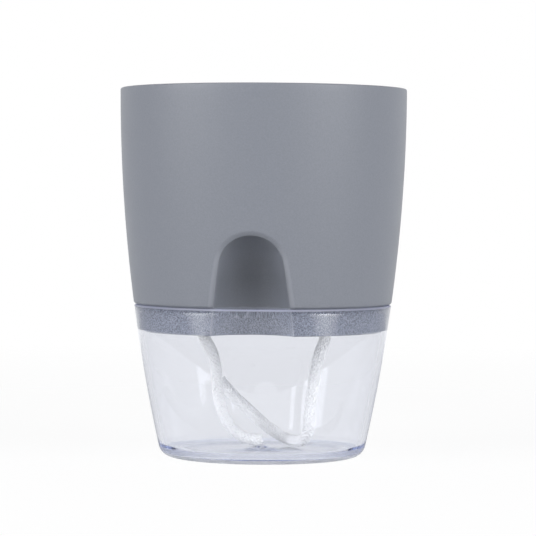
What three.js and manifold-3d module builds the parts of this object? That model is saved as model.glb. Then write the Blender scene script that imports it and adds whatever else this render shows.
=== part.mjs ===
// Self-watering plant pot: a clear water reservoir, a grey planter that drops into it,
// and a cotton wick that hangs through the planter's floor into the water.
// Millimetres, +Z up. The origin is the middle of the base, on the table.
// The arched water inlet faces -Y.

import * as THREE from 'three';
import { mergeVertices } from 'three/addons/utils/BufferGeometryUtils.js';
import Module from 'manifold-3d';

const wasm = await Module();
wasm.setup();

// Outside shape: one large arc runs from the rim to the base and is upright at the rim
const reservoirHeight = 69;
const planterHeight = 97.5;
const rimRadius = 65;
const flankRadius = 740;

// Reservoir
const reservoirWall = 2.4;
const reservoirFloor = 3;
const baseEdgeRadius = 6;
const innerEdgeRadius = 5;
const reservoirRimRound = 0.9;
const standRingWidth = 6;
const baseRecess = 0.8;
const gateDomeRadius = 9;
const gateDomeRise = 1.6;

// Planter
const planterWall = 2.2;
const planterFloor = 2.4;
const planterRimRound = 0.8;
const shoulderEdgeRadius = 1.2;
const shoulderThickness = 2.4;
const collarDepth = 11.9;
const collarEdgeRadius = 1.2;
const drainHoleDiameter = 4;
const outerDrainHoles = 9;
const outerDrainRing = 41;
const outerDrainArc = THREE.MathUtils.degToRad(240);
const innerDrainHoles = 6;
const innerDrainRing = 16;

// Water inlet: an arched niche whose sides flare towards the reservoir
const inletCrown = 31.8;
const inletArchRadius = 14.6;
const inletArchDepth = 17.5;
const inletFlare = THREE.MathUtils.degToRad(9.3);

// Wick
const wickDiameter = 6;
const wickHoleDiameter = 9;
const wickHoleSpacing = 55;
const wickLeftShift = -0.2;
const wickRightShift = 1.3;

// Clearances
const seatGap = 0.3;
const collarClearance = 0.4;
const wickRestGap = 0.3;
const wickJoinGap = 0.3;

// Mesh fineness
const roundSegments = 72;
const inletSegments = 40;
const holeSegments = 16;
const wickSides = 10;
const flankStep = 14;
const cornerStep = 2.2;
const archSteps = 8;
const wickStep = 6;
const cutOvershoot = 1;

// Levels worked out from the sizes above
const shoulderZ = reservoirHeight + seatGap;
const rimZ = shoulderZ + planterHeight;
const collarBottomZ = reservoirHeight - collarDepth;
const planterFloorTopZ = collarBottomZ + planterFloor;
const ledgeZ = shoulderZ + shoulderThickness;
const collarInset = reservoirWall + collarClearance;

const greyPlastic = new THREE.MeshStandardMaterial({ color: 0x8a8e97, roughness: 0.62, metalness: 0 });
const clearPlastic = new THREE.MeshStandardMaterial({ color: 0xdfe4f2, roughness: 0.05, metalness: 0 });
clearPlastic.transparent = true;
clearPlastic.opacity = 0.35;
const whiteCotton = new THREE.MeshStandardMaterial({ color: 0xeceded, roughness: 0.95, metalness: 0 });

// Radius of the surface that lies a given inset inside the outside arc
function flankAt(inset, z) {
  const centreRadius = rimRadius - flankRadius;
  return centreRadius + Math.sqrt((flankRadius - inset) ** 2 - (rimZ - z) ** 2);
}

function flankPoints(inset, fromZ, toZ) {
  const points = [];
  const steps = Math.ceil(Math.abs(toZ - fromZ) / flankStep);
  for (let i = 0; i <= steps; i += 1) {
    const z = fromZ + ((toZ - fromZ) * i) / steps;
    points.push(new THREE.Vector2(flankAt(inset, z), z));
  }
  return points;
}

function arcPoints(centre, radius, fromAngle, toAngle, steps) {
  const points = [];
  for (let i = 0; i <= steps; i += 1) {
    const angle = fromAngle + ((toAngle - fromAngle) * i) / steps;
    points.push(new THREE.Vector2(centre.x + radius * Math.cos(angle), centre.y + radius * Math.sin(angle)));
  }
  return points;
}

function cornerSteps(radius) {
  return 1 + Math.ceil(radius / cornerStep);
}

// Rounded corner, touching both a level face below it and the flank at the given inset
function bottomCorner(inset, levelZ, radius) {
  const centreZ = levelZ + radius;
  const centre = new THREE.Vector2(flankAt(inset + radius, centreZ), centreZ);
  const flankAngle = -Math.asin((rimZ - centreZ) / (flankRadius - inset - radius));
  return arcPoints(centre, radius, -Math.PI / 2, flankAngle, cornerSteps(radius));
}

// Rounded corner between the flank at the given inset and a level face above it
function topOuterCorner(inset, levelZ, radius) {
  const centre = new THREE.Vector2(flankAt(inset + radius, levelZ - radius), levelZ - radius);
  return arcPoints(centre, radius, 0, Math.PI / 2, cornerSteps(radius));
}

function topInnerCorner(inset, levelZ, radius) {
  const centre = new THREE.Vector2(flankAt(inset - radius, levelZ - radius), levelZ - radius);
  return arcPoints(centre, radius, Math.PI / 2, Math.PI, cornerSteps(radius));
}

// A closed solid turned about Z from a profile of (radius, height) points
function turned(profile, segments) {
  const geometry = new THREE.LatheGeometry(profile, segments);
  geometry.rotateX(Math.PI / 2);
  return toSolid(geometry);
}

function toSolid(geometry) {
  const bare = geometry.clone();
  bare.deleteAttribute('normal');
  bare.deleteAttribute('uv');
  const merged = mergeVertices(bare);
  const index = Array.from(merged.index.array);
  const triangles = [];
  for (let i = 0; i < index.length; i += 3) {
    const [a, b, c] = index.slice(i, i + 3);
    if (a !== b && b !== c && c !== a) {
      triangles.push(a, b, c);
    }
  }
  const mesh = new wasm.Mesh({
    numProp: 3,
    vertProperties: new Float32Array(merged.attributes.position.array),
    triVerts: new Uint32Array(triangles),
  });
  return new wasm.Manifold(mesh);
}

function toMesh(name, solid, material) {
  const { vertProperties, triVerts } = solid.getMesh();
  const geometry = new THREE.BufferGeometry();
  geometry.setAttribute('position', new THREE.BufferAttribute(vertProperties, 3));
  geometry.setIndex(new THREE.BufferAttribute(triVerts, 1));
  geometry.computeVertexNormals();
  const mesh = new THREE.Mesh(geometry, material);
  mesh.name = name;
  return mesh;
}

// Reservoir: a tapered cup on a standing ring, with a raised spot under the moulding gate
function makeReservoir() {
  const standOuter = bottomCorner(0, 0, baseEdgeRadius)[0].x;
  const standInner = standOuter - standRingWidth;
  const profile = [
    new THREE.Vector2(0, baseRecess + gateDomeRise),
    new THREE.Vector2(gateDomeRadius, baseRecess),
    new THREE.Vector2(standInner - baseRecess, baseRecess),
    new THREE.Vector2(standInner, 0),
    ...bottomCorner(0, 0, baseEdgeRadius),
    ...flankPoints(0, baseEdgeRadius, reservoirHeight - reservoirRimRound),
    ...topOuterCorner(0, reservoirHeight, reservoirRimRound),
    ...topInnerCorner(reservoirWall, reservoirHeight, reservoirRimRound),
    ...flankPoints(reservoirWall, reservoirHeight - reservoirRimRound, reservoirFloor + innerEdgeRadius),
    ...bottomCorner(reservoirWall, reservoirFloor, innerEdgeRadius).reverse(),
    new THREE.Vector2(gateDomeRadius, reservoirFloor),
    new THREE.Vector2(0, reservoirFloor + gateDomeRise),
  ];
  return toMesh('reservoir_cup', turned(profile, roundSegments), clearPlastic);
}

// Niche solid: an arch with flared sides, turned about its own upright axis and stretched in depth.
// The wall argument grows it evenly, so the same function gives the niche and the shell behind it.
function makeInletSolid(wall) {
  const radius = inletArchRadius + wall;
  const centreZ = shoulderZ + inletCrown - inletArchRadius;
  const tangentRadius = radius * Math.cos(inletFlare);
  const tangentZ = centreZ + radius * Math.sin(inletFlare);
  const bottomZ = collarBottomZ - cutOvershoot;
  const bottomRadius = tangentRadius + (tangentZ - bottomZ) * Math.tan(inletFlare);
  const profile = [
    new THREE.Vector2(0, bottomZ),
    new THREE.Vector2(bottomRadius, bottomZ),
    ...arcPoints(new THREE.Vector2(0, centreZ), radius, inletFlare, Math.PI / 2, archSteps),
  ];
  profile[profile.length - 1].x = 0;
  const depthStretch = (inletArchDepth + wall) / radius;
  return turned(profile, inletSegments)
    .scale([1, depthStretch, 1])
    .translate([0, -flankAt(0, centreZ), 0]);
}

function makeFloorHole(x, y, diameter) {
  const length = planterFloor + 2 * cutOvershoot;
  const geometry = new THREE.CylinderGeometry(diameter / 2, diameter / 2, length, holeSegments);
  geometry.rotateX(Math.PI / 2);
  geometry.translate(x, y, collarBottomZ + planterFloor / 2);
  return toSolid(geometry);
}

// Floor holes: two for the wick, an outer arc of drain holes that leaves out the inlet, and an inner ring
function makeFloorHoles() {
  const holes = [
    makeFloorHole(-wickHoleSpacing / 2, 0, wickHoleDiameter),
    makeFloorHole(wickHoleSpacing / 2, 0, wickHoleDiameter),
  ];
  for (let i = 0; i < outerDrainHoles; i += 1) {
    const angle = Math.PI / 2 + outerDrainArc * (i / (outerDrainHoles - 1) - 0.5);
    holes.push(makeFloorHole(outerDrainRing * Math.cos(angle), outerDrainRing * Math.sin(angle), drainHoleDiameter));
  }
  for (let i = 0; i < innerDrainHoles; i += 1) {
    const angle = (2 * Math.PI * i) / innerDrainHoles;
    holes.push(makeFloorHole(innerDrainRing * Math.cos(angle), innerDrainRing * Math.sin(angle), drainHoleDiameter));
  }
  return holes;
}

// Planter: the outside form, less its cavity, less the niche, less the floor holes
function makePlanter() {
  const outside = turned([
    new THREE.Vector2(0, collarBottomZ),
    ...bottomCorner(collarInset, collarBottomZ, collarEdgeRadius),
    ...flankPoints(collarInset, collarBottomZ + collarEdgeRadius, shoulderZ),
    ...bottomCorner(0, shoulderZ, shoulderEdgeRadius),
    ...flankPoints(0, shoulderZ + shoulderEdgeRadius, rimZ - planterRimRound),
    ...topOuterCorner(0, rimZ, planterRimRound),
    new THREE.Vector2(0, rimZ),
  ], roundSegments);
  const rimEdge = topInnerCorner(planterWall, rimZ, planterRimRound);
  const cavity = turned([
    new THREE.Vector2(0, planterFloorTopZ),
    ...flankPoints(collarInset + planterWall, planterFloorTopZ, ledgeZ),
    ...flankPoints(planterWall, ledgeZ, rimZ - planterRimRound),
    ...rimEdge.reverse(),
    new THREE.Vector2(rimEdge[rimEdge.length - 1].x, rimZ + cutOvershoot),
    new THREE.Vector2(0, rimZ + cutOvershoot),
  ], roundSegments);
  let planter = outside.subtract(cavity.subtract(makeInletSolid(planterWall)));
  planter = planter.subtract(makeInletSolid(0));
  for (const hole of makeFloorHoles()) {
    planter = planter.subtract(hole);
  }
  return toMesh('planter_pot', planter, greyPlastic);
}

// One stretch of rope along hand-chosen points
function makeRope(name, points) {
  const path = new THREE.CatmullRomCurve3(points.map((p) => new THREE.Vector3(...p)), false, 'centripetal');
  const section = new THREE.Shape();
  section.setFromPoints(arcPoints(new THREE.Vector2(0, 0), wickDiameter / 2, 0, 2 * Math.PI, wickSides).slice(0, -1));
  const steps = Math.round(path.getLength() / wickStep);
  const geometry = new THREE.ExtrudeGeometry(section, { steps, extrudePath: path, bevelEnabled: false });
  return toMesh(name, toSolid(geometry), whiteCotton);
}

// Wick: one rope, drawn as three stretches that meet in the middle of the floor holes.
// The points of its tails follow the photograph, and those of the loop are chosen by eye.
function makeWick() {
  const leftX = wickLeftShift - wickHoleSpacing / 2;
  const rightX = wickRightShift + wickHoleSpacing / 2;
  const joinZ = collarBottomZ + planterFloor / 2;
  const tailTopZ = joinZ - wickJoinGap / 2;
  const bridgeEndZ = joinZ + wickJoinGap / 2;
  const onReservoirFloor = reservoirFloor + wickDiameter / 2 + wickRestGap;
  const onPlanterFloor = planterFloorTopZ + wickDiameter / 2 + wickRestGap;

  // The left tail hangs almost straight, turns to the right near the floor and ends there
  const leftTail = [
    [leftX, 0, tailTopZ],
    [leftX + 0.1, 0, 56.4],
    [-26.8, 0, 54],
    [-25.2, 0, 51],
    [-23.2, 0, 47],
    [-21.9, 0.1, 42.7],
    [-21.2, 0.2, 38.6],
    [-20.9, 0.4, 34],
    [-20.4, 0.8, 29.4],
    [-19.7, 1.2, 24.8],
    [-18.5, 1.9, 20.2],
    [-16.6, 2.9, 15.6],
    [-13.9, 4.1, 11.7],
    [-10.4, 5.2, 8.7],
    [-5.9, 6.1, 7],
    [-0.6, 6.7, onReservoirFloor],
  ];

  // Half of the loop on the planter's floor: inward from the hole, backward, and height of the rope's middle
  const loopHalf = [
    [0, 0, bridgeEndZ],
    [0, 0, bridgeEndZ + 3.2],
    [0.9, 1.5, onPlanterFloor + 4.3],
    [3.2, 5.5, onPlanterFloor + 8.9],
    [6.3, 11, onPlanterFloor + 10.6],
    [9.4, 16.8, onPlanterFloor + 9.1],
    [11.7, 21.4, onPlanterFloor + 5.6],
    [14, 26.1, onPlanterFloor + 1.9],
    [16.8, 30, onPlanterFloor + 0.3],
    [21.6, 33.8, onPlanterFloor],
  ];
  const loopBack = [(leftX + rightX) / 2, 35.2, onPlanterFloor];
  const leftHalf = loopHalf.map(([inward, back, z]) => [leftX + inward, back, z]);
  const rightHalf = loopHalf.map(([inward, back, z]) => [rightX - inward, back, z]);
  const bridge = [...leftHalf, loopBack, ...rightHalf.reverse()];

  // The right tail drops to the floor, turns back on it and leans on the rear wall
  const rightTail = [
    [rightX, 0, tailTopZ],
    [rightX - 0.1, 0, 55.4],
    [28.1, 0, 52],
    [26.5, -0.3, 48.2],
    [25.2, -0.9, 43.7],
    [24.5, -1.7, 39.2],
    [23.9, -2.6, 34.7],
    [23.2, -3.5, 30.3],
    [22.6, -4.3, 25.8],
    [22.2, -4.9, 21.3],
    [21.9, -4.8, 16.8],
    [21.3, -3.6, 12.4],
    [19.8, -0.8, 8.6],
    [17.4, 3.6, 6.7],
    [14.5, 9.5, onReservoirFloor],
    [10.7, 15.6, 6.4],
    [5.7, 20, 8.2],
    [0.3, 24, 11.2],
    [-4.9, 27.6, 15],
    [-9.8, 31, 18.9],
    [-14.9, 34.4, 22.6],
    [-19.4, 37.2, 26.6],
    [-23.8, 39.6, 31],
  ];

  return [
    makeRope('wick_left_tail', leftTail),
    makeRope('wick_bridge', bridge),
    makeRope('wick_right_tail', rightTail),
  ];
}

const pot = new THREE.Group();
pot.add(makeReservoir());
pot.add(makePlanter());
pot.add(...makeWick());

export default pot;
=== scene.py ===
import math
import random

import bpy
from mathutils import Matrix, Vector


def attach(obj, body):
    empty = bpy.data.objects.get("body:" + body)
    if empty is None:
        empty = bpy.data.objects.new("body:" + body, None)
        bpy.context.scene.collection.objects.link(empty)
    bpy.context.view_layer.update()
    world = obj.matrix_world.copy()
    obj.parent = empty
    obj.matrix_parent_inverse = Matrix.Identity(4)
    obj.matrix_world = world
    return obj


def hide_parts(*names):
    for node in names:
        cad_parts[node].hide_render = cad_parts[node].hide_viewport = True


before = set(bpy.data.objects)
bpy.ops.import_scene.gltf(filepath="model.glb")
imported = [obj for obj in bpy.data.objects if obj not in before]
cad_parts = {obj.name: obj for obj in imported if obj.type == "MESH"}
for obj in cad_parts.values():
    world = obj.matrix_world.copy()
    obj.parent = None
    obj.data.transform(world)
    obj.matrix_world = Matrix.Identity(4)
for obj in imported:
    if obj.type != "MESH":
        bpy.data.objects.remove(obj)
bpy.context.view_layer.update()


# Camera: a long lens on a stand, level with the upper half of the pot and a little to the right of its
# water inlet. The frame is square, and the focal length is counted in pixels of that frame.
frame_pixels = 536
focal_pixels = 2500
camera_distance = 1.138
camera_height = 0.1174
view_drop_pixels = 70.3
camera_turn = math.radians(5.1)
camera_pan = math.radians(0.117)
camera_tilt = math.atan(view_drop_pixels / focal_pixels)
camera_roll = math.radians(0.31)

bpy.ops.object.select_all(action="DESELECT")
bpy.ops.object.camera_add()
camera = bpy.context.object
camera.location = (
    camera_distance * math.sin(camera_turn),
    -camera_distance * math.cos(camera_turn),
    camera_height,
)
camera.rotation_euler = (
    Matrix.Rotation(camera_turn - camera_pan, 3, "Z")
    @ Matrix.Rotation(math.pi / 2 - camera_tilt, 3, "X")
    @ Matrix.Rotation(camera_roll, 3, "Z")
).to_euler()
camera.data.lens = focal_pixels / frame_pixels * camera.data.sensor_width
camera.data.clip_start = 0.05
bpy.context.scene.camera = camera


# Wick: one length of white cotton rope, braided from sixteen yarns round a core. It is threaded through
# two holes in the planter's floor and cut off plainly, so that both ends hang into the water and the
# middle lies in a loop under the soil. Each stretch follows the points of its CAD rope.
yarn_radius = 0.0007
yarns_each_way = 8
braid_pitch = 0.0155
braid_radius = 0.00186
braid_rise = 0.0003
core_radius = 0.00255
rope_spacing = 0.00032
curve_steps = 40
core_stride = 4
frayed_length = 0.005
frayed_spread = 0.14
uneven_cut = 5

left_tail_points = [
    (-0.0277, 0, 0.05815),
    (-0.0276, 0, 0.0564),
    (-0.0268, 0, 0.054),
    (-0.0252, 0, 0.051),
    (-0.0232, 0, 0.047),
    (-0.0219, 0.0001, 0.0427),
    (-0.0212, 0.0002, 0.0386),
    (-0.0209, 0.0004, 0.034),
    (-0.0204, 0.0008, 0.0294),
    (-0.0197, 0.0012, 0.0248),
    (-0.0185, 0.0019, 0.0202),
    (-0.0166, 0.0029, 0.0156),
    (-0.0139, 0.0041, 0.0117),
    (-0.0104, 0.0052, 0.0087),
    (-0.0059, 0.0061, 0.007),
    (-0.0006, 0.0067, 0.0063),
]
loop_half = [
    (0, 0, 0.05845),
    (0, 0, 0.06165),
    (0.0009, 0.0015, 0.0671),
    (0.0032, 0.0055, 0.0717),
    (0.0063, 0.011, 0.0734),
    (0.0094, 0.0168, 0.0719),
    (0.0117, 0.0214, 0.0684),
    (0.014, 0.0261, 0.0647),
    (0.0168, 0.03, 0.0631),
    (0.0216, 0.0338, 0.0628),
]
loop_back = (0.00055, 0.0352, 0.0628)
left_hole_x = -0.0277
right_hole_x = 0.0288
bridge_points = [(left_hole_x + inward, back, height) for inward, back, height in loop_half]
bridge_points.append(loop_back)
bridge_points += [(right_hole_x - inward, back, height) for inward, back, height in reversed(loop_half)]
right_tail_points = [
    (0.0288, 0, 0.05815),
    (0.0287, 0, 0.0554),
    (0.0281, 0, 0.052),
    (0.0265, -0.0003, 0.0482),
    (0.0252, -0.0009, 0.0437),
    (0.0245, -0.0017, 0.0392),
    (0.0239, -0.0026, 0.0347),
    (0.0232, -0.0035, 0.0303),
    (0.0226, -0.0043, 0.0258),
    (0.0222, -0.0049, 0.0213),
    (0.0219, -0.0048, 0.0168),
    (0.0213, -0.0036, 0.0124),
    (0.0198, -0.0008, 0.0086),
    (0.0174, 0.0036, 0.0067),
    (0.0145, 0.0095, 0.0063),
    (0.0107, 0.0156, 0.0064),
    (0.0057, 0.02, 0.0082),
    (0.0003, 0.024, 0.0112),
    (-0.0049, 0.0276, 0.015),
    (-0.0098, 0.031, 0.0189),
    (-0.0149, 0.0344, 0.0226),
    (-0.0194, 0.0372, 0.0266),
    (-0.0238, 0.0396, 0.031),
]


def rope_line(points, spacing):
    """Even points along the centripetal Catmull-Rom curve through the given points."""
    knots = [Vector(point) for point in points]
    knots.insert(0, 2 * knots[0] - knots[1])
    knots.append(2 * knots[-1] - knots[-2])
    dense = []
    for before, start, end, after in zip(knots, knots[1:], knots[2:], knots[3:]):
        from_time = (start - before).length ** 0.5
        to_time = from_time + (end - start).length ** 0.5
        last_time = to_time + (after - end).length ** 0.5
        for step in range(curve_steps):
            share = step / curve_steps
            time = from_time + (to_time - from_time) * share
            first = before.lerp(start, time / from_time)
            second = start.lerp(end, share)
            third = end.lerp(after, (time - to_time) / (last_time - to_time))
            low = first.lerp(second, time / to_time)
            high = second.lerp(third, (time - from_time) / (last_time - from_time))
            dense.append(low.lerp(high, share))
    dense.append(knots[-2])
    reached = [0.0]
    for here, there in zip(dense, dense[1:]):
        reached.append(reached[-1] + (there - here).length)
    count = round(reached[-1] / spacing)
    line = []
    stretch = 0
    for index in range(count + 1):
        target = reached[-1] * index / count
        while stretch < len(dense) - 2 and reached[stretch + 1] < target:
            stretch += 1
        share = (target - reached[stretch]) / (reached[stretch + 1] - reached[stretch])
        line.append(dense[stretch].lerp(dense[stretch + 1], share))
    return line, reached[-1]


def braided_rope(name, points, has_cut_end, seed):
    """A braid of two sets of yarns that turn opposite ways and pass over and under each other."""
    draw = random.Random(seed)
    line, length = rope_line(points, rope_spacing)
    last = len(line) - 1
    tangents = []
    for index in range(last + 1):
        tangents.append((line[min(index + 1, last)] - line[max(index - 1, 0)]).normalized())
    side = tangents[0].orthogonal().normalized()
    sides = [side]
    for here, there in zip(tangents, tangents[1:]):
        side = here.rotation_difference(there) @ side
        side = (side - there * side.dot(there)).normalized()
        sides.append(side)

    curve = bpy.data.curves.new(name, "CURVE")
    curve.dimensions = "3D"
    curve.bevel_depth = yarn_radius
    curve.bevel_resolution = 1
    curve.use_fill_caps = True
    core = curve.splines.new("POLY")
    core.points.add(last // core_stride)
    for number, point in enumerate(core.points):
        point.co = (*line[min(number * core_stride, last)], 1)
        point.radius = core_radius / yarn_radius
    for turn in (1, -1):
        for number in range(yarns_each_way):
            start_angle = 2 * math.pi * number / yarns_each_way
            stop = last
            if has_cut_end:
                stop -= draw.randrange(0, uneven_cut)
            yarn = curve.splines.new("POLY")
            yarn.points.add(stop)
            for index, point in enumerate(yarn.points):
                travel = length * index / last
                angle = start_angle + turn * 2 * math.pi * travel / braid_pitch
                crossing = math.cos(2 * math.pi * yarns_each_way * travel / braid_pitch)
                reach = braid_radius + turn * braid_rise * crossing
                if has_cut_end:
                    frayed = max(0, 1 - (length - travel) / frayed_length)
                    reach *= 1 + frayed_spread * frayed ** 2
                across = tangents[index].cross(sides[index])
                offset = math.cos(angle) * sides[index] + math.sin(angle) * across
                point.co = (*(line[index] + reach * offset), 1)
    rope = bpy.data.objects.new(name, curve)
    bpy.context.collection.objects.link(rope)
    bpy.ops.object.select_all(action="DESELECT")
    rope.select_set(True)
    bpy.context.view_layer.objects.active = rope
    bpy.ops.object.convert(target="MESH")
    rope = bpy.context.object
    bpy.ops.object.shade_smooth()
    return rope, line, length


def add_node(tree, kind, **values):
    """A shader node, with the values of its named sockets."""
    node = tree.nodes.new("ShaderNode" + kind)
    for socket, value in values.items():
        node.inputs[socket.replace("_", " ")].default_value = value
    return node


def new_material(name):
    """An empty node material, with its tree and its output node."""
    material = bpy.data.materials.new(name)
    material.use_nodes = True
    material.node_tree.nodes.clear()
    output = material.node_tree.nodes.new("ShaderNodeOutputMaterial")
    return material, material.node_tree, output


# Cotton yarn: fluffy and quite matt, near white, with fibres that catch a little more or less light
cotton, tree, output = new_material("white cotton")
place = add_node(tree, "TexCoord")
shade_noise = add_node(tree, "TexNoise", Scale=420, Detail=3, Roughness=0.6)
shade = add_node(tree, "ValToRGB")
shade.color_ramp.elements[0].position = 0.3
shade.color_ramp.elements[0].color = (0.925, 0.922, 0.91, 1)
shade.color_ramp.elements[1].position = 0.72
shade.color_ramp.elements[1].color = (0.97, 0.967, 0.955, 1)
fibre_noise = add_node(tree, "TexNoise", Scale=2600, Detail=4, Roughness=0.65)
fibre_bump = add_node(tree, "Bump", Strength=0.05, Distance=0.0002)
yarn_shader = add_node(
    tree,
    "BsdfPrincipled",
    Roughness=0.95,
    Subsurface_Weight=0.42,
    Subsurface_Scale=0.0015,
    Sheen_Weight=0.15,
)
yarn_shader.inputs["Subsurface Radius"].default_value = (1, 1, 1)
tree.links.new(place.outputs["Object"], shade_noise.inputs["Vector"])
tree.links.new(place.outputs["Object"], fibre_noise.inputs["Vector"])
tree.links.new(shade_noise.outputs["Fac"], shade.inputs["Fac"])
tree.links.new(shade.outputs["Color"], yarn_shader.inputs["Base Color"])
tree.links.new(fibre_noise.outputs["Fac"], fibre_bump.inputs["Height"])
tree.links.new(fibre_bump.outputs["Normal"], yarn_shader.inputs["Normal"])
tree.links.new(yarn_shader.outputs["BSDF"], output.inputs["Surface"])

for node_name, points, has_cut_end, far_end, lay, seed in (
    ("wick_left_tail", left_tail_points, True, "bare", "hanging", 3),
    ("wick_bridge", bridge_points, False, "object", "loose", 5),
    ("wick_right_tail", right_tail_points, True, "bare", "hanging", 8),
):
    rope, line, length = braided_rope("rope_" + node_name, points, has_cut_end, seed)
    rope.data.materials.append(cotton)
    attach(rope, "planter")
    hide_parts(node_name)


# Reservoir: a tapered cup, injection moulded in one piece from clear, slightly violet plastic. It stands
# on a ring under its rounded base. The floor rises to a low boss in its middle, with the dimple of the
# moulding gate under it.
rim_radius = 0.065
rim_height = 0.1668
flank_radius = 0.74
cup_height = 0.069
cup_wall = 0.0024
cup_floor = 0.003
cup_edge_radius = 0.006
cup_inner_radius = 0.005
cup_rim_round = 0.0009
stand_width = 0.006
base_recess = 0.0008
gate_radius = 0.009
gate_rise = 0.0021
gate_pin_radius = 0.0019
gate_pin_taper = 0.7
gate_pin_depth = 0.0023
foot_height = 0.0023
cup_turns = 200
merge_distance = 0.000002
smooth_angle = math.radians(32)


def flank(inset, height):
    """Radius of the surface that lies the given inset inside the pot's outside arc."""
    return rim_radius - flank_radius + math.sqrt((flank_radius - inset) ** 2 - (rim_height - height) ** 2)


def flank_line(inset, from_height, to_height, steps):
    line = []
    for step in range(steps + 1):
        height = from_height + (to_height - from_height) * step / steps
        line.append((flank(inset, height), height))
    return line


def arc_line(centre, radius, from_angle, to_angle, steps):
    line = []
    for step in range(steps + 1):
        angle = from_angle + (to_angle - from_angle) * step / steps
        line.append((centre[0] + radius * math.cos(angle), centre[1] + radius * math.sin(angle)))
    return line


def bottom_corner(inset, level, radius, steps):
    """Rounded corner from a level face up into the flank."""
    height = level + radius
    flank_angle = -math.asin((rim_height - height) / (flank_radius - inset - radius))
    return arc_line((flank(inset + radius, height), height), radius, -math.pi / 2, flank_angle, steps)


def turned(name, outline, turns):
    """A skin turned about Z: one vertex is drawn out along (radius, height) points and then spun."""
    bpy.ops.object.select_all(action="DESELECT")
    bpy.ops.mesh.primitive_plane_add(size=0.01)
    piece = bpy.context.object
    piece.name = name
    bpy.ops.object.mode_set(mode="EDIT")
    bpy.ops.mesh.select_all(action="SELECT")
    bpy.ops.mesh.merge(type="CENTER")
    bpy.ops.transform.translate(value=(outline[0][0], 0, outline[0][1]))
    for (radius, height), (next_radius, next_height) in zip(outline, outline[1:]):
        move = {"value": (next_radius - radius, 0, next_height - height)}
        bpy.ops.mesh.extrude_vertices_move(TRANSFORM_OT_translate=move)
    bpy.ops.mesh.select_all(action="SELECT")
    bpy.ops.mesh.spin(steps=turns, angle=2 * math.pi, center=(0, 0, 0), axis=(0, 0, 1))
    bpy.ops.mesh.select_all(action="SELECT")
    bpy.ops.mesh.remove_doubles(threshold=merge_distance)
    bpy.ops.mesh.normals_make_consistent(inside=False)
    bpy.ops.object.mode_set(mode="OBJECT")
    return piece


def gate_boss(level, steps):
    """The gate's low boss, from its edge to the middle of the floor."""
    line = []
    for step in range(steps + 1):
        share = step / steps
        line.append((gate_radius * (1 - share), level + gate_rise * (1 - math.cos(math.pi * share)) / 2))
    return line


def use_modifier(piece, name, kind, **settings):
    """Adds a modifier with its settings and applies it."""
    modifier = piece.modifiers.new(name, kind)
    for setting, value in settings.items():
        setattr(modifier, setting, value)
    bpy.ops.object.select_all(action="DESELECT")
    piece.select_set(True)
    bpy.context.view_layer.objects.active = piece
    bpy.ops.object.modifier_apply(modifier=name)


outer_corner = bottom_corner(0, 0, cup_edge_radius, steps=20)
stand_inner = outer_corner[0][0] - stand_width
inner_corner = bottom_corner(cup_wall, cup_floor, cup_inner_radius, steps=20)
gate_pin_top = base_recess + gate_pin_depth
rim_low = cup_height - cup_rim_round
rim_outer_centre = (flank(cup_rim_round, rim_low), rim_low)
rim_inner_centre = (flank(cup_wall - cup_rim_round, rim_low), rim_low)
cup_outline = (
    [(0, gate_pin_top), (gate_pin_radius * gate_pin_taper, gate_pin_top), (gate_pin_radius, base_recess)]
    + [(stand_inner - base_recess, base_recess), (stand_inner, 0)]
    + outer_corner
    + flank_line(0, outer_corner[-1][1], rim_low, steps=24)[1:]
    + arc_line(rim_outer_centre, cup_rim_round, 0, math.pi / 2, steps=4)[1:]
    + arc_line(rim_inner_centre, cup_rim_round, math.pi / 2, math.pi, steps=4)
    + flank_line(cup_wall, rim_low, inner_corner[-1][1], steps=24)[1:]
    + inner_corner[::-1][1:]
    + gate_boss(cup_floor, steps=14)
)
cup = turned("clear_reservoir", cup_outline, cup_turns)
bpy.ops.object.shade_smooth_by_angle(angle=smooth_angle)

# Clear plastic: smooth and glassy, with a violet tint that shows where light runs far through it, and
# the faint upright waves that the melt leaves in a wall, though not in the base. Lamps shine through it.
clear_plastic, tree, output = new_material("clear plastic")
place = add_node(tree, "TexCoord")
flow_scale = add_node(tree, "Mapping", Scale=(70, 70, 9))
flow_noise = add_node(tree, "TexNoise", Scale=1, Detail=1)
height = add_node(tree, "SeparateXYZ")
flow_strength = add_node(tree, "MapRange", From_Min=0.009, From_Max=0.02, To_Max=0.1)
flow_bump = add_node(tree, "Bump", Distance=0.0004)
clear_shader = add_node(
    tree,
    "BsdfPrincipled",
    Base_Color=(0.926, 0.931, 0.947, 1),
    Roughness=0.015,
    IOR=1.57,
    Transmission_Weight=1,
)
tint = add_node(tree, "VolumeAbsorption", Color=(0.18, 0.36, 0.88, 1), Density=13)
lamp_path = add_node(tree, "LightPath")
lamp_pass = add_node(tree, "BsdfTransparent", Color=(0.985, 0.986, 0.99, 1))
lamp_mix = add_node(tree, "MixShader")
tree.links.new(place.outputs["Object"], flow_scale.inputs["Vector"])
tree.links.new(flow_scale.outputs["Vector"], flow_noise.inputs["Vector"])
tree.links.new(flow_noise.outputs["Fac"], flow_bump.inputs["Height"])
tree.links.new(place.outputs["Object"], height.inputs["Vector"])
tree.links.new(height.outputs["Z"], flow_strength.inputs["Value"])
tree.links.new(flow_strength.outputs["Result"], flow_bump.inputs["Strength"])
tree.links.new(flow_bump.outputs["Normal"], clear_shader.inputs["Normal"])
tree.links.new(lamp_path.outputs["Is Shadow Ray"], lamp_mix.inputs["Fac"])
tree.links.new(clear_shader.outputs["BSDF"], lamp_mix.inputs[1])
tree.links.new(lamp_pass.outputs["BSDF"], lamp_mix.inputs[2])
tree.links.new(lamp_mix.outputs["Shader"], output.inputs["Surface"])
tree.links.new(tint.outputs["Volume"], output.inputs["Volume"])
cup.data.materials.append(clear_plastic)

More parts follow.
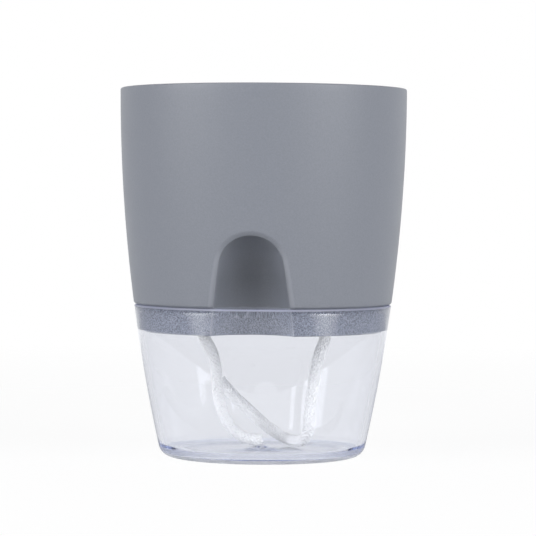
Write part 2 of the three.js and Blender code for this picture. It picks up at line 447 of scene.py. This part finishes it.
# The edge that the cup stands on is left satin where the parts of the mould meet, so it gathers the light
# that runs in the plastic. The rim's round is satin too, and its pale lavender colour is painted light,
# standing in for the light that runs in the clear plastic along the rim.
satin_grain = bpy.data.node_groups.new("satin grain", "ShaderNodeTree")
satin_grain.interface.new_socket("Fineness", in_out="INPUT", socket_type="NodeSocketFloat")
satin_grain.interface.new_socket("Strength", in_out="INPUT", socket_type="NodeSocketFloat")
satin_grain.interface.new_socket("Normal", in_out="OUTPUT", socket_type="NodeSocketVector")
given = satin_grain.nodes.new("NodeGroupInput")
result = satin_grain.nodes.new("NodeGroupOutput")
place = add_node(satin_grain, "TexCoord")
grain = add_node(satin_grain, "TexNoise", Detail=2)
grain_bump = add_node(satin_grain, "Bump", Distance=0.0001)
satin_grain.links.new(place.outputs["Object"], grain.inputs["Vector"])
satin_grain.links.new(given.outputs["Fineness"], grain.inputs["Scale"])
satin_grain.links.new(given.outputs["Strength"], grain_bump.inputs["Strength"])
satin_grain.links.new(grain.outputs["Fac"], grain_bump.inputs["Height"])
satin_grain.links.new(grain_bump.outputs["Normal"], result.inputs["Normal"])
for name, colour, clearness in (
    # The rim's lavender colour is painted light, standing in for light carried along the clear plastic
    ("rim painted light", (0.42, 0.435, 0.56, 1), 0.5),
    ("satin foot", (0.87, 0.9, 1, 1), 1),
):
    satin, tree, output = new_material(name)
    satin_place = tree.nodes.new("ShaderNodeGroup")
    satin_place.node_tree = satin_grain
    satin_place.inputs["Fineness"].default_value = 900
    satin_place.inputs["Strength"].default_value = 0.15
    satin_shader = add_node(
        tree, "BsdfPrincipled", Base_Color=colour, Roughness=0.4, IOR=1.57, Transmission_Weight=clearness
    )
    tree.links.new(satin_place.outputs["Normal"], satin_shader.inputs["Normal"])
    tree.links.new(satin_shader.outputs["BSDF"], output.inputs["Surface"])
    cup.data.materials.append(satin)
for face in cup.data.polygons:
    from_axis = math.hypot(face.center.x, face.center.y)
    # The rim's round takes the satin with its painted light colour
    if face.center.z > rim_low and from_axis > rim_outer_centre[0] + cup_rim_round / 2:
        face.material_index = 1
    if face.center.z < foot_height and from_axis > outer_corner[0][0]:
        face.material_index = 2
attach(cup, "reservoir")
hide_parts("reservoir_cup")


# Planter: a tapered pot, injection moulded in one piece from matt grey plastic. Its stepped collar drops
# into the reservoir, an arched niche in front is the water inlet, and the floor is pierced for the wick
# and for drainage.
planter_wall = 0.0022
planter_floor = 0.0024
planter_rim_round = 0.0008
shoulder_level = 0.0693
shoulder_round = 0.0012
collar_bottom = 0.0571
collar_inset = 0.00238
collar_round = 0.0012
planter_turns = 240
window_columns = 18
window_top = 0.1075
inlet_crown = 0.0318
arch_radius = 0.0146
arch_depth = 0.0175
niche_flare = math.radians(9.3)
lip_width = 0.0023
lip_depth = 0.0011
lip_bend = 0.3
edge_rounds = 30
wall_rings = 9
lip_rings = 7
niche_rings = 12
# Painted shade inside the niche: darkest in its hollow, less towards the crown, barely on the collar
hollow_painted_shade = -0.34
crown_painted_shade = -0.12
collar_painted_shade = -0.02
collar_lip = 0.0004
shade_start_ring = 2
crown_shade_from = 0.4
crown_shade_run = 0.35
# Painted highlight on the lip: lighter along the niche's sides, fading out over the arch
highlight_from = 0.28
highlight_run = 0.2
highlight_rings = 4
level_slack = 0.00001
floor_slack = 0.0003
ring_slack = 0.0005
flat_normal = 0.99

arch_level = shoulder_level + inlet_crown - arch_radius
niche_axis = -flank(0, arch_level)
niche_stretch = arch_depth / arch_radius
flare_top = arch_level + arch_radius * math.sin(niche_flare)
flare_top_width = arch_radius * math.cos(niche_flare)
collar_corner = bottom_corner(collar_inset, collar_bottom, collar_round, steps=4)
shoulder_corner = bottom_corner(0, shoulder_level, shoulder_round, steps=4)
side_rows = (
    collar_corner
    + flank_line(collar_inset, collar_corner[-1][1], shoulder_level, steps=6)[1:]
    + shoulder_corner
    + flank_line(0, shoulder_corner[-1][1], flare_top, steps=8)[1:]
)
upper_rows = flank_line(0, flare_top, window_top, steps=6)[1:]
rim_rows = flank_line(0, window_top, rim_height, steps=16)[1:]
planter = turned("grey_planter", side_rows + upper_rows + rim_rows, planter_turns)

# The window that the niche goes into is cut out of the front of the turned wall
column_angle = 2 * math.pi / planter_turns
window_angle = window_columns * column_angle
bpy.ops.object.mode_set(mode="EDIT")
bpy.ops.mesh.select_mode(type="FACE")
bpy.ops.mesh.select_all(action="DESELECT")
bpy.ops.object.mode_set(mode="OBJECT")
for face in planter.data.polygons:
    beside = math.atan2(face.center.x, -face.center.y)
    face.select = abs(beside) < window_angle and face.center.z < window_top
bpy.ops.object.mode_set(mode="EDIT")
bpy.ops.mesh.delete(type="FACE")
bpy.ops.object.mode_set(mode="OBJECT")


def on_wall(radius, beside, height):
    return Vector((radius * math.sin(beside), -radius * math.cos(beside), height))


def niche_row(wide, high, level, depth, wall_radius, rim_place, lip):
    """One row of the front patch, from the window's edge over the lip to the back of the niche.

    The niche's own surface is an ellipse in this row: wide and high reach its edge from the level of its
    middle, and depth is how far back it goes. wall_radius gives the wall's radius at a height, and
    rim_place is the row's end on the window's edge, as an angle beside the front and a height. lip is the
    width of the rounded edge.
    """
    def in_niche(turn):
        height = level + high * math.sin(turn)
        return Vector((wide * math.sin(turn), niche_axis + depth * math.cos(turn), height))

    edge_turn = math.pi / 2
    for _ in range(edge_rounds):
        edge = in_niche(edge_turn)
        wall_y = -math.sqrt(wall_radius(edge.z) ** 2 - edge.x ** 2)
        edge_turn = math.acos((wall_y - niche_axis) / depth)
    edge = in_niche(edge_turn)
    edge_beside = math.atan2(edge.x, -edge.y)
    run = math.hypot(wide, high)
    lip_beside = edge_beside + lip * wide / run / wall_radius(edge.z)
    lip_height = edge.z + lip * high / run
    lip_turn = edge_turn - lip * lip_depth / lip_width / depth
    row = []
    for ring in range(wall_rings):
        share = ring / wall_rings
        beside = rim_place[0] + (lip_beside - rim_place[0]) * share
        height = rim_place[1] + (lip_height - rim_place[1]) * share
        row.append(on_wall(wall_radius(height), beside, height))
    lip_start = on_wall(wall_radius(lip_height), lip_beside, lip_height)
    lip_end = in_niche(lip_turn)
    bend = lip_start.lerp(edge, lip_bend)
    for ring in range(lip_rings):
        share = ring / lip_rings
        row.append(lip_start.lerp(bend, share).lerp(bend.lerp(lip_end, share), share))
    for ring in range(niche_rings + 1):
        row.append(in_niche(lip_turn * (1 - ring / niche_rings)))
    return row


# The rows run from the collar up one side of the niche, over its arch and down the other side
patch_rows = []
for radius, height in side_rows:
    wide = flare_top_width + (flare_top - height) * math.tan(niche_flare)
    rise = (flare_top - arch_level) * (height - collar_bottom) / (flare_top - collar_bottom)
    depth = niche_stretch * (flare_top_width + (flare_top - height + rise) * math.tan(niche_flare))
    if height == flare_top:
        depth = niche_stretch * arch_radius
    lip = collar_lip if height < shoulder_level else lip_width
    patch_rows.append(
        niche_row(-wide, rise, height - rise, depth, lambda _, at=radius: at, (-window_angle, height), lip)
    )
window_edge = [(-window_angle, height) for _, height in upper_rows]
window_edge += [
    (column * column_angle, window_top) for column in range(1 - window_columns, window_columns)
]
window_edge += [(window_angle, height) for _, height in reversed(upper_rows)]
arch_step = (math.pi - 2 * niche_flare) / (len(window_edge) + 1)
arch_rows = []
for number, rim_place in enumerate(window_edge, start=1):
    angle = niche_flare + arch_step * number
    arch_rows.append(
        niche_row(
            -arch_radius * math.cos(angle),
            arch_radius * math.sin(angle),
            arch_level,
            niche_stretch * arch_radius,
            lambda height: flank(0, height),
            rim_place,
            lip_width,
        )
    )
other_side = [[Vector((-point.x, point.y, point.z)) for point in row] for row in reversed(patch_rows)]
patch_rows += arch_rows + other_side


def lip_painted_highlight(row, column):
    """How much lighter the lip is painted as a painted highlight: along the niche's sides, less over its
    arch.
    """
    if not wall_rings < column <= wall_rings + lip_rings:
        return 0
    from_crown = abs(2 * row / (len(patch_rows) - 1) - 1)
    along = max(0, min(1, (from_crown - highlight_from) / highlight_run))
    return along * min(1, (column - wall_rings) / highlight_rings)


def niche_painted_shade(point, column):
    """How much the niche's inside is painted darker as painted shade: most in the hollow, least on the
    collar.
    """
    inside = max(0, min(1, (column - wall_rings - shade_start_ring) / lip_rings))
    if point.z < shoulder_level:
        return inside * collar_painted_shade
    rise = (point.z - shoulder_level) / inlet_crown
    to_crown = max(0, min(1, (rise - crown_shade_from) / crown_shade_run))
    return inside * (hollow_painted_shade + (crown_painted_shade - hollow_painted_shade) * to_crown)


# The patch starts as a flat grid, and its vertices move to their places in the rows
patch_columns = wall_rings + lip_rings + niche_rings
bpy.ops.object.select_all(action="DESELECT")
bpy.ops.mesh.primitive_grid_add(x_subdivisions=patch_columns, y_subdivisions=len(patch_rows) - 1, size=1)
patch = bpy.context.object
# Each vertex carries the lip's painted highlight and the painted shade of the niche's inside
lip_highlight_mark = patch.data.attributes.new("lip", "FLOAT", "POINT")
painted_shade_mark = patch.data.attributes.new("tone", "FLOAT", "POINT")
for vertex in patch.data.vertices:
    column = round((vertex.co.x + 0.5) * patch_columns)
    row = round((vertex.co.y + 0.5) * (len(patch_rows) - 1))
    vertex.co = patch_rows[row][column]
    lip_highlight_mark.data[vertex.index].value = lip_painted_highlight(row, column)
    painted_shade_mark.data[vertex.index].value = niche_painted_shade(vertex.co, column)
planter.select_set(True)
bpy.context.view_layer.objects.active = planter
bpy.ops.object.join()
bpy.ops.object.mode_set(mode="EDIT")
bpy.ops.mesh.select_all(action="SELECT")
bpy.ops.mesh.remove_doubles(threshold=merge_distance)
bpy.ops.mesh.select_mode(type="EDGE")
bpy.ops.mesh.select_all(action="DESELECT")
bpy.ops.object.mode_set(mode="OBJECT")
face_count = {}
for face in planter.data.polygons:
    for key in face.edge_keys:
        face_count[key] = face_count.get(key, 0) + 1
for edge in planter.data.edges:
    heights = [planter.data.vertices[index].co.z for index in edge.vertices]
    edge.select = face_count[edge.key] == 1 and max(heights) < collar_bottom + level_slack
bpy.ops.object.mode_set(mode="EDIT")
bpy.ops.mesh.edge_face_add()
bpy.ops.mesh.select_all(action="SELECT")
bpy.ops.mesh.normals_make_consistent(inside=False)
bpy.ops.object.mode_set(mode="OBJECT")
use_modifier(
    planter, "wall", "SOLIDIFY", thickness=planter_wall, offset=-1, use_even_offset=True, use_rim=True
)

# The floor is a little thicker than the wall, and the rim is rounded
floor_top = collar_bottom + planter_wall
bpy.ops.object.mode_set(mode="EDIT")
bpy.ops.mesh.select_mode(type="FACE")
bpy.ops.mesh.select_all(action="DESELECT")
bpy.ops.object.mode_set(mode="OBJECT")
for face in planter.data.polygons:
    face.select = face.normal.z > flat_normal and abs(face.center.z - floor_top) < floor_slack
bpy.ops.object.mode_set(mode="EDIT")
bpy.ops.transform.translate(value=(0, 0, planter_floor - planter_wall))
bpy.ops.mesh.select_mode(type="EDGE")
bpy.ops.mesh.select_all(action="DESELECT")
bpy.ops.object.mode_set(mode="OBJECT")
for edge in planter.data.edges:
    ends = [planter.data.vertices[index].co for index in edge.vertices]
    radii = [math.hypot(end.x, end.y) for end in ends]
    at_rim = min(end.z for end in ends) > rim_height - level_slack
    edge.select = at_rim and abs(radii[0] - radii[1]) < ring_slack
bpy.ops.object.mode_set(mode="EDIT")
bpy.ops.mesh.bevel(offset=planter_rim_round, segments=4, affect="EDGES")
bpy.ops.object.mode_set(mode="OBJECT")

# Floor holes: two for the wick, an arc of drain holes that leaves out the niche, and an inner ring
wick_hole_radius = 0.0045
wick_hole_spacing = 0.055
drain_radius = 0.002
drill_length = 0.008
outer_drain_ring = 0.041
outer_drains = 9
outer_drain_arc = math.radians(240)
inner_drain_ring = 0.016
inner_drains = 6
hole_places = [(-wick_hole_spacing / 2, 0, wick_hole_radius), (wick_hole_spacing / 2, 0, wick_hole_radius)]
drain_places = []
for number in range(outer_drains):
    angle = math.pi / 2 + outer_drain_arc * (number / (outer_drains - 1) - 0.5)
    drain_places.append((outer_drain_ring, angle))
for number in range(inner_drains):
    drain_places.append((inner_drain_ring, 2 * math.pi * number / inner_drains))
for ring, angle in drain_places:
    hole_places.append((ring * math.cos(angle), ring * math.sin(angle), drain_radius))
drills = []
for x, y, radius in hole_places:
    bpy.ops.mesh.primitive_cylinder_add(
        vertices=36, radius=radius, depth=drill_length, location=(x, y, collar_bottom + planter_floor / 2)
    )
    drills.append(bpy.context.object)
bpy.ops.object.select_all(action="DESELECT")
for drill in drills:
    drill.select_set(True)
bpy.context.view_layer.objects.active = drills[0]
bpy.ops.object.join()
drill = bpy.context.object
use_modifier(planter, "holes", "BOOLEAN", operation="DIFFERENCE", solver="EXACT", object=drill)
bpy.data.objects.remove(drill)
bpy.ops.object.shade_smooth_by_angle(angle=smooth_angle)

# Grey plastic: an even matt grey with the fine grain of an etched mould. On the collar the grain is
# coarser and shinier, so that it glitters where it lies against the clear wall. A colour Mix node has its
# two colours in inputs 6 and 7 and its result in output 2.
grey_plastic, tree, output = new_material("grey plastic")
place = add_node(tree, "TexCoord")
split = add_node(tree, "SeparateXYZ")
collar_mask = add_node(tree, "MapRange", From_Min=0.0679, From_Max=0.0687, To_Min=1, To_Max=0)
cloud_noise = add_node(tree, "TexNoise", Scale=55, Detail=2)
grain_noise = add_node(tree, "TexNoise", Scale=1500, Detail=3, Roughness=0.6)
fleck_noise = add_node(tree, "TexNoise", Scale=1700, Detail=2, Roughness=0.75)
grain_shade = add_node(tree, "ValToRGB")
grain_shade.color_ramp.elements[0].position = 0.3
grain_shade.color_ramp.elements[0].color = (0.205, 0.219, 0.253, 1)
grain_shade.color_ramp.elements[1].position = 0.7
grain_shade.color_ramp.elements[1].color = (0.23, 0.245, 0.281, 1)
fleck_shade = add_node(tree, "ValToRGB")
fleck_shade.color_ramp.elements[0].position = 0.38
fleck_shade.color_ramp.elements[0].color = (0.105, 0.118, 0.153, 1)
fleck_shade.color_ramp.elements[1].position = 0.72
fleck_shade.color_ramp.elements[1].color = (0.375, 0.4, 0.475, 1)
shade_mix = add_node(tree, "Mix")
shade_mix.data_type = "RGBA"
# Painted highlight: the lip attribute mixes a lighter grey into the colour along the niche's lip
lip_highlight_place = add_node(tree, "Attribute")
lip_highlight_place.attribute_name = "lip"
lip_highlight_mix = add_node(tree, "Mix")
lip_highlight_mix.data_type = "RGBA"
lip_highlight_mix.inputs[7].default_value = (0.278, 0.293, 0.333, 1)
# Painted shade: the tone attribute darkens the colour inside the niche
painted_shade_place = add_node(tree, "Attribute")
painted_shade_place.attribute_name = "tone"
painted_shade_level = add_node(tree, "Math")
painted_shade_level.inputs[1].default_value = 1
painted_shade_colour = add_node(tree, "HueSaturation")
cloud_mix = add_node(tree, "MapRange", To_Min=0.4, To_Max=0.48)
rough_mix = add_node(tree, "Mix", B=0.22)
height_mix = add_node(tree, "Mix")
grain_bump = add_node(tree, "Bump", Strength=0.35, Distance=0.0001)
grey_shader = add_node(tree, "BsdfPrincipled", IOR=1.49)
tree.links.new(place.outputs["Object"], split.inputs["Vector"])
tree.links.new(split.outputs["Z"], collar_mask.inputs["Value"])
for noise in (cloud_noise, grain_noise, fleck_noise):
    tree.links.new(place.outputs["Object"], noise.inputs["Vector"])
tree.links.new(grain_noise.outputs["Fac"], grain_shade.inputs["Fac"])
tree.links.new(fleck_noise.outputs["Fac"], fleck_shade.inputs["Fac"])
tree.links.new(collar_mask.outputs["Result"], shade_mix.inputs["Factor"])
tree.links.new(grain_shade.outputs["Color"], shade_mix.inputs[6])
tree.links.new(fleck_shade.outputs["Color"], shade_mix.inputs[7])
tree.links.new(lip_highlight_place.outputs["Fac"], lip_highlight_mix.inputs["Factor"])
tree.links.new(shade_mix.outputs[2], lip_highlight_mix.inputs[6])
tree.links.new(painted_shade_place.outputs["Fac"], painted_shade_level.inputs[0])
tree.links.new(painted_shade_level.outputs["Value"], painted_shade_colour.inputs["Value"])
tree.links.new(lip_highlight_mix.outputs[2], painted_shade_colour.inputs["Color"])
tree.links.new(painted_shade_colour.outputs["Color"], grey_shader.inputs["Base Color"])
tree.links.new(cloud_noise.outputs["Fac"], cloud_mix.inputs["Value"])
tree.links.new(collar_mask.outputs["Result"], rough_mix.inputs["Factor"])
tree.links.new(cloud_mix.outputs["Result"], rough_mix.inputs["A"])
tree.links.new(rough_mix.outputs["Result"], grey_shader.inputs["Roughness"])
tree.links.new(collar_mask.outputs["Result"], height_mix.inputs["Factor"])
tree.links.new(grain_noise.outputs["Fac"], height_mix.inputs["A"])
tree.links.new(fleck_noise.outputs["Fac"], height_mix.inputs["B"])
tree.links.new(height_mix.outputs["Result"], grain_bump.inputs["Height"])
tree.links.new(grain_bump.outputs["Normal"], grey_shader.inputs["Normal"])
tree.links.new(grey_shader.outputs["BSDF"], output.inputs["Surface"])
planter.data.materials.append(grey_plastic)
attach(planter, "planter")
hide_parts("planter_pot")


# Studio: a pale table that keeps a soft shadow, a white backdrop that the table runs into, and a darker
# front where the camera stands. On both sides stand a tall soft box, a lamp that shows only in the clear
# wall, a low lamp for the wick, and close to the collar a small strip lamp.
table_drop = 0.0001
table_radius = 0.9
front_light = 0.11
back_light = 0.45
lamp_distance = 1.5
strip_distance = 0.075
strip_level = 0.0577
strip_size = (0.06, 0.0145)
strip_spread = math.radians(45)

bpy.ops.object.select_all(action="DESELECT")
bpy.ops.mesh.primitive_circle_add(
    vertices=96, radius=table_radius, fill_type="NGON", location=(0, 0, -table_drop)
)
table = bpy.context.object
table.name = "studio_table"
bpy.ops.object.transform_apply(location=True, rotation=True, scale=True)


def white_share(tree, clear, mirrored):
    """How white the surround is for each ray: straight, through clear walls or mirrored."""
    path = add_node(tree, "LightPath")
    dimmed = add_node(tree, "Math")
    dimmed.operation = "MULTIPLY"
    through = add_node(tree, "Math")
    through.operation = "MAXIMUM"
    shown = add_node(tree, "Math")
    shown.operation = "MAXIMUM"
    mirror = add_node(tree, "Math")
    mirror.operation = "MULTIPLY"
    tree.links.new(path.outputs["Is Camera Ray"], through.inputs[0])
    tree.links.new(path.outputs["Is Transmission Ray"], dimmed.inputs[0])
    tree.links.new(clear, dimmed.inputs[1])
    tree.links.new(dimmed.outputs["Value"], through.inputs[1])
    tree.links.new(path.outputs["Is Glossy Ray"], mirror.inputs[0])
    tree.links.new(mirrored, mirror.inputs[1])
    tree.links.new(through.outputs["Value"], shown.inputs[0])
    tree.links.new(mirror.outputs["Value"], shown.inputs[1])
    return shown.outputs["Value"]


pale_table, tree, output = new_material("pale table")
place = add_node(tree, "TexCoord")
distance = add_node(tree, "VectorMath")
distance.operation = "LENGTH"
fade = add_node(tree, "MapRange", From_Min=0.3, From_Max=0.85)
near = add_node(tree, "MapRange", From_Min=0.48, From_Max=0.62, To_Min=0.1, To_Max=1)
# Painted shadow: seen through the clear cup, the table's glow is dimmed under the pot's base
under = add_node(tree, "MapRange", From_Min=0.03, From_Max=0.048, To_Min=0.3, To_Max=1)
board = add_node(tree, "BsdfDiffuse", Color=(0.6, 0.6, 0.61, 1))
glow = add_node(tree, "Emission", Color=(1, 1, 1, 1), Strength=1.08)
glow_share = add_node(tree, "Math")
glow_share.operation = "MULTIPLY"
glow_share.inputs[1].default_value = 0.85
table_mix = add_node(tree, "MixShader")
clear_edge = add_node(tree, "BsdfTransparent")
edge_mix = add_node(tree, "MixShader")
tree.links.new(place.outputs["Object"], distance.inputs[0])
tree.links.new(distance.outputs["Value"], fade.inputs["Value"])
tree.links.new(distance.outputs["Value"], near.inputs["Value"])
tree.links.new(distance.outputs["Value"], under.inputs["Value"])
table_share = white_share(tree, under.outputs["Result"], near.outputs["Result"])
tree.links.new(table_share, glow_share.inputs[0])
tree.links.new(glow_share.outputs["Value"], table_mix.inputs["Fac"])
tree.links.new(board.outputs["BSDF"], table_mix.inputs[1])
tree.links.new(glow.outputs["Emission"], table_mix.inputs[2])
tree.links.new(fade.outputs["Result"], edge_mix.inputs["Fac"])
tree.links.new(table_mix.outputs["Shader"], edge_mix.inputs[1])
tree.links.new(clear_edge.outputs["BSDF"], edge_mix.inputs[2])
tree.links.new(edge_mix.outputs["Shader"], output.inputs["Surface"])
table.data.materials.append(pale_table)

world = bpy.data.worlds.new("white surround")
bpy.context.scene.world = world
world.use_nodes = True
tree = world.node_tree
tree.nodes.clear()
output = tree.nodes.new("ShaderNodeOutputWorld")
place = add_node(tree, "TexCoord")
direction = add_node(tree, "SeparateXYZ")
from_back = add_node(tree, "MapRange", From_Min=0.6, From_Max=0.9, To_Min=0.07, To_Max=0.9)
fill_level = add_node(tree, "MapRange", From_Min=0.1, From_Max=0.7, To_Min=front_light, To_Max=back_light)
all_clear = tree.nodes.new("ShaderNodeValue")
all_clear.outputs["Value"].default_value = 1
soft_fill = add_node(tree, "Background", Color=(0.98, 0.99, 1, 1))
white_back = add_node(tree, "Background", Color=(1, 1, 1, 1), Strength=1)
surround_mix = add_node(tree, "MixShader")
tree.links.new(place.outputs["Generated"], direction.inputs["Vector"])
tree.links.new(direction.outputs["Y"], from_back.inputs["Value"])
tree.links.new(direction.outputs["Y"], fill_level.inputs["Value"])
tree.links.new(fill_level.outputs["Result"], soft_fill.inputs["Strength"])
surround_share = white_share(tree, all_clear.outputs["Value"], from_back.outputs["Result"])
tree.links.new(surround_share, surround_mix.inputs["Fac"])
tree.links.new(soft_fill.outputs["Background"], surround_mix.inputs[1])
tree.links.new(white_back.outputs["Background"], surround_mix.inputs[2])
tree.links.new(surround_mix.outputs["Shader"], output.inputs["Surface"])


def area_lamp(name, turn, facing, distance, level, size, power):
    """A rectangular lamp at a turn in degrees round the pot, which faces along another turn."""
    bpy.ops.object.light_add(type="AREA")
    lamp = bpy.context.object
    lamp.name = name
    lamp.data.shape = "RECTANGLE"
    lamp.data.size = size[0]
    lamp.data.size_y = size[1]
    lamp.data.energy = power
    beside = math.radians(turn)
    lamp.location = (distance * math.sin(beside), -distance * math.cos(beside), level)
    lamp.rotation_euler = (math.pi / 2, 0, math.radians(facing))
    return lamp


for name, turn, level, size, power, rays in (
    ("soft_box_left", -53, 0.95, (1.2, 1.5), 22.8, ("diffuse", "glossy")),
    ("soft_box_right", 57.6, 0.95, (1.2, 1.5), 22.8, ("diffuse", "glossy")),
    ("wall_lamp_left", -49.5, 0.42, (1.17, 0.4), 2.6, ("transmission",)),
    ("wall_lamp_right", 59.5, 0.42, (1.17, 0.4), 2.6, ("transmission",)),
    ("wick_lamp_left", -53, 0.08, (1.2, 0.12), 6.9, ("diffuse",)),
    ("wick_lamp_right", 57.6, 0.08, (1.2, 0.12), 6.9, ("diffuse",)),
):
    lamp = area_lamp(name, turn, turn, lamp_distance, level, size, power)
    lamp.visible_diffuse = "diffuse" in rays
    lamp.visible_glossy = "glossy" in rays
    lamp.visible_transmission = "transmission" in rays

# The strip lamps show only in the collar's shine, and they fade out towards their ends
for name, turn, facing, power in (
    ("strip_lamp_left", -31.5, -53, 0.00115),
    ("strip_lamp_right", 41.7, 63, 0.00138),
):
    lamp = area_lamp(name, turn, facing, strip_distance, strip_level, strip_size, power)
    lamp.data.spread = strip_spread
    lamp.visible_camera = False
    lamp.visible_diffuse = False
    lamp.visible_transmission = False
    lamp.data.use_nodes = True
    tree = lamp.data.node_tree
    across = add_node(tree, "NewGeometry")
    split = add_node(tree, "SeparateXYZ")
    soft_edges = add_node(tree, "ValToRGB")
    soft_edges.color_ramp.interpolation = "EASE"
    soft_edges.color_ramp.elements[0].color = (0, 0, 0, 1)
    soft_edges.color_ramp.elements[1].color = (0, 0, 0, 1)
    soft_edges.color_ramp.elements.new(0.5).color = (1, 1, 1, 1)
    tree.links.new(across.outputs["Parametric"], split.inputs["Vector"])
    tree.links.new(split.outputs["X"], soft_edges.inputs["Fac"])
    tree.links.new(soft_edges.outputs["Color"], tree.nodes["Emission"].inputs["Strength"])

# Light runs through the clear walls many times before it leaves them
paths = bpy.context.scene.cycles
paths.max_bounces = 64
paths.glossy_bounces = 64
paths.transmission_bounces = 64
paths.transparent_max_bounces = 24
bpy.context.scene.view_settings.view_transform = "Standard"
